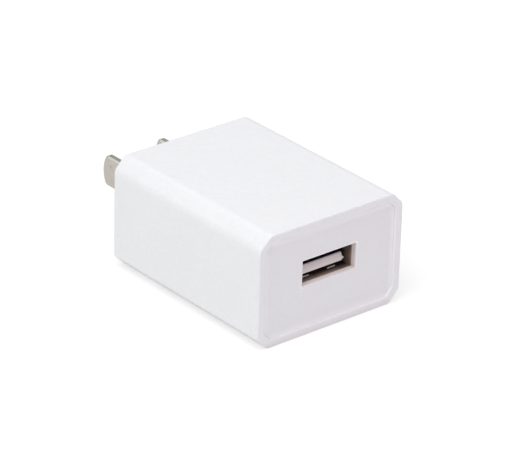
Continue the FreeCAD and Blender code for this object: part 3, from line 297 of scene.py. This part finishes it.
def socket_nickel():
    """Nickel-plated steel sheet: warm and dull, with painted shade deepening inside the shell and a painted
    highlight where a plug meets the fingers.
    """
    p = Paint("socket_nickel")
    lines = p.noise(1.0, 3.0, 0.6, p.stretch((9000, 300, 9000)))
    cloud = p.noise(2.2, 2.0, 0.5)
    # Painted shade: darkening from the mouth to near black deeper inside the shell.
    sideways = p.span(p.math("ABSOLUTE", p.facing("X")), 0.6, 0.9, 0.0, 1.1 * MM)
    inward = p.math("SUBTRACT", p.axis("Y"), sideways)
    depth = p.span(inward, SHELL_MOUTH + 0.1 * MM, SHELL_MOUTH + 1.7 * MM, smooth=True)
    tone = p.mix(depth, (0.50, 0.37, 0.29), (0.035, 0.028, 0.032))
    tone = p.mix(p.span(cloud, 0.3, 0.7, 0.0, 0.3), tone, (0.10, 0.08, 0.07))
    tone = p.mix(p.span(lines, 0.3, 0.7, 0.0, 0.2), tone, (0.06, 0.05, 0.045))
    # Painted highlight: the fingers' crests made near white and mostly non-metal, so they read bright.
    across = p.within(p.math("ABSOLUTE", p.axis("X")), FINGER[0].x, FINGER[1].x, 0.02 * MM)
    along = p.within(p.axis("Y"), FINGER[0].y - 0.1 * MM, FINGER[0].y + 0.12 * MM, 0.06 * MM)
    painted_highlight = p.math("MULTIPLY", across, along)
    tone = p.mix(painted_highlight, tone, (1.0, 0.98, 0.96))
    gloss = p.blend(painted_highlight, p.span(lines, 0.3, 0.7, 0.34, 0.44), 0.4)
    return p.done(tone, gloss, p.bump(lines, 0.002, 0.5), p.blend(painted_highlight, 0.6, 0.1))


def contact_gold():
    """Phosphor bronze with gold on the crests, where the plug touches."""
    p = Paint("contact_gold", Metallic=1.0)
    lines = p.noise(1.0, 2.0, 0.6, p.stretch((14000, 500, 14000)))
    along = p.math("SUBTRACT", p.axis("Y"), CONTACT_TIP)
    tone = p.mix(p.span(along, 1.5 * MM, 3.5 * MM, smooth=True), (0.90, 0.66, 0.28), (0.70, 0.47, 0.30))
    tone = p.mix(p.span(p.noise(0.6, 2.0), 0.3, 0.7, 0.0, 0.3), tone, (0.62, 0.42, 0.22))
    return p.done(tone, p.span(lines, 0.3, 0.7, 0.18, 0.32), p.bump(lines, 0.003, 0.6))


def spring_bronze():
    """Rolled bronze sheet: fine lines up the leaf, a cloudy tin flash and darker pits."""
    p = Paint("spring_bronze", Metallic=1.0)
    lines = p.noise(1.0, 3.0, 0.6, p.stretch((20000, 20000, 20000 / 60)))
    cloud = p.noise(2.5, 3.0, 0.6)
    pits = p.span(p.noise(0.16, 1.0, 0.4), 0.70, 0.80)
    tone = p.mix(p.span(cloud, 0.3, 0.7), (0.72, 0.52, 0.32), (0.62, 0.43, 0.25))
    tone = p.mix(p.span(lines, 0.35, 0.65, 0.0, 0.35), tone, (0.508, 0.353, 0.205))
    tone = p.mix(p.math("MULTIPLY", pits, 0.5), tone, (0.279, 0.194, 0.113))
    gloss = p.math("ADD", p.span(lines, 0.3, 0.7, 0.25, 0.37), p.span(cloud, 0.3, 0.7, -0.03, 0.04))
    return p.done(tone, gloss, p.bump(lines, 0.004, 0.7))


def tinned_wire():
    """Tinned copper pins, a little lumpy all over and duller where solder has run up them."""
    p = Paint("tinned_wire", Metallic=1.0)
    lumps = p.noise(0.5, 3.0, 0.6)
    solder = p.span(p.axis("Z"), BOARD_TOP - 0.3 * MM, BOARD_TOP + 0.3 * MM)
    tone = p.mix(p.span(lumps, 0.3, 0.7), (0.72, 0.71, 0.69), (0.60, 0.59, 0.57))
    return p.done(tone, p.blend(solder, 0.25, 0.42), p.bump(lumps, 0.03, 0.5))


def ferrite():
    """Sintered ferrite: dark, fine and slightly porous, with ground faces."""
    p = Paint("ferrite", Specular_IOR_Level=0.55)
    pores = p.span(p.noise(0.12, 2.0, 0.6), 0.66, 0.78)
    cloud = p.noise(1.8, 3.0, 0.6)
    tone = p.mix(p.span(cloud, 0.3, 0.7), (0.045, 0.045, 0.05), (0.075, 0.075, 0.08))
    tone = p.mix(pores, tone, (0.012, 0.012, 0.014))
    return p.done(tone, p.span(cloud, 0.3, 0.7, 0.42, 0.60), p.bump(pores, -0.02, 0.7))


def tape(name, color, deep, lap_mm, along):
    """Polyester tape in overlapping turns, with a step at each lap and small wrinkles."""
    p = Paint(name, Coat_Weight=0.5, Coat_Roughness=0.12)
    ramp = p.math("FRACT", p.math("MULTIPLY", p.axis(along), 1.0 / (lap_mm * MM)))
    lap = p.within(ramp, 0.0, 0.12, 0.03)
    wrinkles = p.noise(1.0, 3.0, 0.6, p.stretch((900, 350, 900)))
    tone = p.mix(p.span(wrinkles, 0.3, 0.7), color, deep)
    tone = p.mix(p.math("MULTIPLY", lap, 0.6), tone, [c * 0.6 for c in deep])
    relief = p.bump(ramp, 0.05, 0.6, p.bump(wrinkles, 0.05, 0.5))
    return p.done(tone, p.span(wrinkles, 0.3, 0.7, 0.25, 0.42), relief)


def can_sleeve(name, color, stripe, cans, radius):
    """A shrink sleeve with a pale stripe towards the casing's wall, and a bare end with its vent cross."""
    p = Paint(name, Coat_Weight=0.35, Coat_Roughness=0.18)
    x, y, z = p.axis("X"), p.axis("Y"), p.axis("Z")
    end, band, cross = 0.0, 0.0, 0.0
    for low, high in map(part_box, cans):
        middle = (low + high) / 2
        side = math.copysign(1.0, middle.x)
        dx, dy = p.math("SUBTRACT", x, middle.x), p.math("SUBTRACT", y, middle.y)
        away = p.length(dx, dy)
        near = p.math("LESS_THAN", away, radius * 1.1)
        flat = p.math("MULTIPLY", p.span(away, radius * 0.80, radius * 0.84, 1.0, 0.0),
                      p.math("LESS_THAN", z, low.z + 0.3 * MM))
        end = p.math("ADD", end, flat)
        arm_x = p.span(p.math("ABSOLUTE", dx), 0.12 * MM, 0.2 * MM, 1.0, 0.0)
        arm_y = p.span(p.math("ABSOLUTE", dy), 0.12 * MM, 0.2 * MM, 1.0, 0.0)
        arms = p.math("MAXIMUM", arm_x, arm_y)
        cross = p.math("ADD", cross, p.math("MULTIPLY", p.math("MULTIPLY", arms, flat),
                                            p.math("LESS_THAN", away, radius * 0.6)))
        toward = p.math("DIVIDE", p.math("MULTIPLY", dx, side), radius)
        band = p.math("ADD", band, p.math("MULTIPLY", near, p.span(toward, 0.80, 0.83)))
    fine = p.noise(0.7, 3.0, 0.6)
    dash_pitch, dash_share = 2.38 * MM, 0.55
    dashes = p.math("LESS_THAN", p.math("FRACT", p.math("DIVIDE", z, dash_pitch)), dash_share)
    sleeve = p.mix(p.span(fine, 0.3, 0.7), color, [c * 0.8 for c in color])
    sleeve = p.mix(band, sleeve, p.mix(p.math("MULTIPLY", dashes, 0.25), stripe, color))
    metal_tone = p.mix(p.span(p.noise(0.3, 2.0), 0.3, 0.7), (0.74, 0.74, 0.75), (0.64, 0.64, 0.66))
    tone = p.mix(end, sleeve, metal_tone)
    tone = p.mix(cross, tone, (0.22, 0.22, 0.23))
    gloss = p.blend(end, p.span(fine, 0.3, 0.7, 0.28, 0.38), 0.34)
    normal = p.bump(cross, -0.15, 1.0, p.bump(fine, 0.02, 0.5))
    return p.done(tone, gloss, normal, end)


def choke_drum():
    """A ferrite drum with copper wire wound between its ends."""
    p = Paint("choke_drum")
    z = p.axis("Z")
    wound = p.within(z, CHOKE_LOW + 1.02 * MM, CHOKE_LOW + 5.98 * MM, 0.01 * MM)
    turn = p.math("FRACT", p.math("MULTIPLY", z, 1.0 / (0.22 * MM)))
    round_wire = p.math("SINE", p.math("MULTIPLY", turn, math.pi))
    copper = p.mix(p.span(p.noise(0.9, 2.0), 0.3, 0.7), (0.62, 0.25, 0.08), (0.48, 0.17, 0.05))
    # Painted shade: darker where neighbouring turns meet.
    copper = p.mix(p.span(round_wire, 0.0, 0.45, 0.85, 0.0), copper, (0.07, 0.02, 0.01))
    dark = p.mix(p.span(p.noise(0.5, 3.0), 0.3, 0.7), (0.05, 0.05, 0.055), (0.08, 0.08, 0.085))
    return p.done(p.mix(wound, dark, copper), p.blend(wound, 0.55, 0.3),
                  p.bump(p.math("MULTIPLY", round_wire, wound), 0.09), p.math("MULTIPLY", wound, 0.6))


def disc_epoxy():
    """A dipped epoxy coat: glossy, thick and a little uneven."""
    p = Paint("disc_epoxy", Coat_Weight=0.8, Coat_Roughness=0.08)
    waves, fine = p.noise(1.6, 2.0, 0.5), p.noise(0.25, 2.0, 0.6)
    tone = p.mix(p.span(waves, 0.3, 0.7), (0.03, 0.16, 0.42), (0.02, 0.11, 0.33))
    tone = p.mix(p.span(fine, 0.66, 0.8, 0.0, 0.5), tone, (0.01, 0.07, 0.24))
    relief = p.bump(waves, 0.12, 0.6, p.bump(fine, 0.01, 0.5))
    return p.done(tone, p.span(fine, 0.3, 0.7, 0.22, 0.34), relief)


def fuse_coat():
    """A cement coat with four colour bands round it, and tinned leads past its ends."""
    p = Paint("fuse_coat", Specular_IOR_Level=0.4)
    x = p.axis("X")
    fine = p.noise(0.2, 3.0, 0.6)
    tone = p.mix(p.span(fine, 0.3, 0.7), (0.28, 0.45, 0.40), (0.22, 0.37, 0.33))
    brown, black, gold = (0.35, 0.16, 0.05), (0.02, 0.02, 0.02), (0.65, 0.42, 0.10)
    for place, color in ((-1.55, brown), (-0.75, black), (0.05, black), (1.3, gold)):
        tone = p.mix(p.within(x, (place - 0.2) * MM, (place + 0.2) * MM, 0.03 * MM), tone, color)
    lead = p.math("GREATER_THAN", p.math("ABSOLUTE", x), 2.61 * MM)
    tone = p.mix(lead, tone, (0.68, 0.67, 0.65))
    return p.done(tone, p.blend(lead, 0.55, 0.28), p.bump(fine, 0.03, 0.6), lead)


def package_black():
    """Moulded epoxy packages: matt black with a laser-dull top, and tinned leads close to the board."""
    p = Paint("package_black", Specular_IOR_Level=0.4)
    fine = p.noise(0.09, 2.0, 0.6)
    tone = p.mix(p.span(fine, 0.3, 0.7), (0.028, 0.028, 0.030), (0.045, 0.045, 0.048))
    lead = p.math("LESS_THAN", p.axis("Z"), BOARD_TOP + 0.21 * MM)
    tone = p.mix(lead, tone, (0.70, 0.69, 0.67))
    gloss = p.blend(lead, p.span(fine, 0.3, 0.7, 0.5, 0.62), 0.3)
    return p.done(tone, gloss, p.bump(fine, 0.01, 0.7), lead)


def chips(name, color, deep, rows, half_mm):
    """Chip parts lying along Y: a glazed body with tinned ends. rows holds their middles in millimetres."""
    p = Paint(name, Coat_Weight=0.2, Coat_Roughness=0.25)
    y = p.axis("Y")
    fine = p.noise(0.15, 2.0, 0.6)
    body = 0.0
    for row in rows:
        body = p.math("MAXIMUM", body, p.within(y, (row - half_mm) * MM, (row + half_mm) * MM, 0.02 * MM))
    tone = p.mix(body, p.mix(fine, (0.75, 0.74, 0.72), (0.62, 0.61, 0.59)), p.mix(fine, color, deep))
    metal = p.math("SUBTRACT", 1.0, body)
    return p.done(tone, p.blend(body, 0.34, 0.30), p.bump(fine, 0.01, 0.6), metal)


def board_laminate():
    """Glass-epoxy board: green mask over copper runs, and woven pale edges."""
    p = Paint("board_laminate", Coat_Weight=0.3, Coat_Roughness=0.2)
    weave = p.node("ShaderNodeTexWave", wave_type="BANDS", bands_direction="DIAGONAL")
    p.tree.links.new(p.stretch((900, 900, 900)), weave.inputs["Vector"])
    blocks = p.node("ShaderNodeTexBrick")
    p.tree.links.new(p.stretch((210, 150, 150), (0, 0, 0.4)), blocks.inputs["Vector"])
    blocks.inputs["Scale"].default_value = 1.0
    blocks.inputs["Mortar Size"].default_value = 0.06
    copper = p.math("SUBTRACT", 1.0, blocks.outputs["Fac"])
    flat = p.span(p.math("ABSOLUTE", p.facing("Z")), 0.5, 0.9)
    cloud = p.noise(3.0, 2.0)
    mask_tone = p.mix(copper, (0.010, 0.085, 0.045), (0.022, 0.18, 0.085))
    mask_tone = p.mix(p.span(cloud, 0.3, 0.7, 0.0, 0.25), mask_tone, (0.012, 0.12, 0.06))
    edge_tone = p.mix(weave.outputs["Fac"], (0.55, 0.50, 0.30), (0.42, 0.40, 0.22))
    tone = p.mix(flat, edge_tone, mask_tone)
    return p.done(tone, p.blend(flat, 0.6, 0.32), p.bump(p.math("MULTIPLY", copper, flat), 0.03, 0.8))


def insulation_film():
    """Vulcanised fibre sheet: short felted fibres, matt."""
    p = Paint("insulation_film", Specular_IOR_Level=0.25)
    fibres = p.noise(1.0, 4.0, 0.7, p.stretch((700, 4200, 700), (0, 0, 0.5)))
    other = p.noise(1.0, 4.0, 0.7, p.stretch((3900, 800, 700), (0, 0, -0.3)))
    both = p.math("MULTIPLY", p.math("ADD", fibres, other), 0.5)
    tone = p.mix(p.span(both, 0.35, 0.65), (0.32, 0.34, 0.36), (0.44, 0.46, 0.48))
    return p.done(tone, p.span(both, 0.3, 0.7, 0.7, 0.85), p.bump(both, 0.03, 0.6))


FINISHES = {
    "casing_white": moulded_plastic("casing_white", (0.822, 0.831, 0.841), (0.807, 0.816, 0.826),
                                    grain_mm=0.05, depth_mm=0.006, rough=0.50, painted_light=casing_painted_shade),
    "plate_white": moulded_plastic("plate_white", (0.798, 0.806, 0.817), (0.785, 0.792, 0.803),
                                   grain_mm=0.06, depth_mm=0.007, rough=0.52, painted_light=plate_painted_light),
    "blade_nickel": blade_nickel(),
    "carrier_nylon": moulded_plastic("carrier_nylon", (0.60, 0.58, 0.52), (0.54, 0.52, 0.46),
                                     grain_mm=0.10, depth_mm=0.010, rough=0.50),
    "insulation_film": insulation_film(),
    "spring_bronze": spring_bronze(),
    "socket_nickel": socket_nickel(),
    "socket_nylon": moulded_plastic("socket_nylon", (0.77, 0.725, 0.72), (0.725, 0.68, 0.67),
                                    grain_mm=0.05, depth_mm=0.006, rough=0.45, painted_light=tongue_painted_shading),
    "contact_gold": contact_gold(),
    "ferrite": ferrite(),
    "bobbin_phenolic": moulded_plastic("bobbin_phenolic", (0.030, 0.030, 0.032), (0.022, 0.022, 0.024),
                                       grain_mm=0.08, depth_mm=0.010, rough=0.42),
    "winding_tape": tape("winding_tape", (0.72, 0.45, 0.03), (0.62, 0.37, 0.02), lap_mm=2.3, along="Y"),
    "core_band": tape("core_band", (0.74, 0.49, 0.05), (0.66, 0.42, 0.03), lap_mm=5.0, along="Z"),
    "tinned_wire": tinned_wire(),
    "bulk_can": can_sleeve("bulk_can", (0.012, 0.014, 0.020), (0.55, 0.56, 0.58),
                           cans=("bulk_capacitor_front", "bulk_capacitor_rear"), radius=4.0 * MM),
    "output_can": can_sleeve("output_can", (0.010, 0.060, 0.035), (0.62, 0.50, 0.22),
                             cans=("output_capacitor_left", "output_capacitor_right"), radius=3.15 * MM),
    "choke_drum": choke_drum(),
    "disc_epoxy": disc_epoxy(),
    "fuse_coat": fuse_coat(),
    "package_black": package_black(),
    "chip_black": chips("chip_black", (0.015, 0.015, 0.017), (0.025, 0.025, 0.028),
                        rows=(-11.3, -31.0), half_mm=0.6),
    "chip_tan": chips("chip_tan", (0.40, 0.26, 0.15), (0.33, 0.21, 0.12),
                      rows=(-29.6, -31.0, -36.2), half_mm=0.6),
    "board_laminate": board_laminate(),
}

slot_of = {part["node"]: part["material_slot"] for part in frame["record"]["subparts"]}
for name, shown in NODES.items():
    for material_slot in shown.material_slots:
        material_slot.material = FINISHES[slot_of[name]]


# ---- floor, light and camera -----------------------------------------------------------------------------

FLOOR_Z = cad_box[0][2]


def make_floor():
    """A wide pale table top."""
    bpy.ops.mesh.primitive_plane_add(size=12.0, location=(0, 0, FLOOR_Z))
    floor = bpy.context.object
    floor.name = "table_top"
    p = Paint("table_white", Specular_IOR_Level=0.2, Emission_Color=(1, 1, 1, 1), Emission_Strength=0.56)
    cloud = p.noise(30.0, 2.0)
    tone = p.mix(p.span(cloud, 0.3, 0.7), (0.45, 0.45, 0.45), (0.445, 0.445, 0.445))
    gloss = p.span(cloud, 0.3, 0.7, 0.7, 0.75)
    floor.data.materials.append(p.done(tone, gloss, p.bump(p.noise(0.4, 2.0), 0.01, 0.3)))


def soft_light(name, place, size, power, color=(1, 1, 1)):
    """A square area light aimed at the charger."""
    lamp = bpy.data.lights.new(name, "AREA")
    lamp.shape, lamp.size, lamp.energy, lamp.color = "SQUARE", size, power, color
    holder = bpy.data.objects.new(name, lamp)
    bpy.context.scene.collection.objects.link(holder)
    holder.location = place
    aim = Vector((0, -0.02, 0)) - Vector(place)
    holder.rotation_euler = aim.to_track_quat("-Z", "Y").to_euler()


def make_world():
    """A pale studio, brightest overhead."""
    world = bpy.data.worlds.new("studio")
    bpy.context.scene.world = world
    world.use_nodes = True
    nodes, links = world.node_tree.nodes, world.node_tree.links
    height = nodes.new("ShaderNodeSeparateXYZ")
    links.new(nodes.new("ShaderNodeTexCoord").outputs["Generated"], height.inputs[0])
    sky = nodes.new("ShaderNodeMix")
    sky.data_type = "RGBA"
    links.new(height.outputs["Z"], sky.inputs[0])
    sky.inputs[6].default_value = (0.057, 0.057, 0.057, 1.0)
    sky.inputs[7].default_value = (0.985, 0.99, 1.0, 1.0)
    links.new(sky.outputs[2], nodes["Background"].inputs["Color"])
    nodes["Background"].inputs["Strength"].default_value = 1.05


def make_lights():
    """A large key from the left and above, a weak fill from the front, and no tone curve over them."""
    make_world()
    soft_light("key", (-0.30, -0.14, 0.55), size=0.45, power=2.15)
    soft_light("fill", (0.10, -0.80, 0.25), size=0.5, power=0.25, color=(1.0, 0.0, 0.71))
    view = bpy.context.scene.view_settings
    view.view_transform = "Standard"
    view.look = "None"


def make_camera():
    """A long lens from the front left and above, a little rolled."""
    azimuth, lift, roll = 0.7046, 0.4596, 0.02935
    distance, aside, above = 0.617984, -0.000906, 0.001485
    back = Vector((-math.sin(azimuth) * math.cos(lift), -math.cos(azimuth) * math.cos(lift), math.sin(lift)))
    level = Vector((math.cos(azimuth), -math.sin(azimuth), 0.0))
    upright = back.cross(level)
    right = level * math.cos(roll) + upright * math.sin(roll)
    up = upright * math.cos(roll) - level * math.sin(roll)
    target = Vector((0.0, -0.023637, 0.000068)) + right * aside + up * above
    camera = bpy.data.cameras.new("camera")
    camera.sensor_width, camera.lens = 36.0, 231.3
    camera.clip_start, camera.clip_end = 0.05, 20.0
    holder = bpy.data.objects.new("camera", camera)
    bpy.context.scene.collection.objects.link(holder)
    place = target + back * distance
    holder.matrix_world = Matrix((
        (right.x, up.x, back.x, place.x),
        (right.y, up.y, back.y, place.y),
        (right.z, up.z, back.z, place.z),
        (0, 0, 0, 1),
    ))
    bpy.context.scene.camera = holder


make_floor()
make_lights()
make_camera()
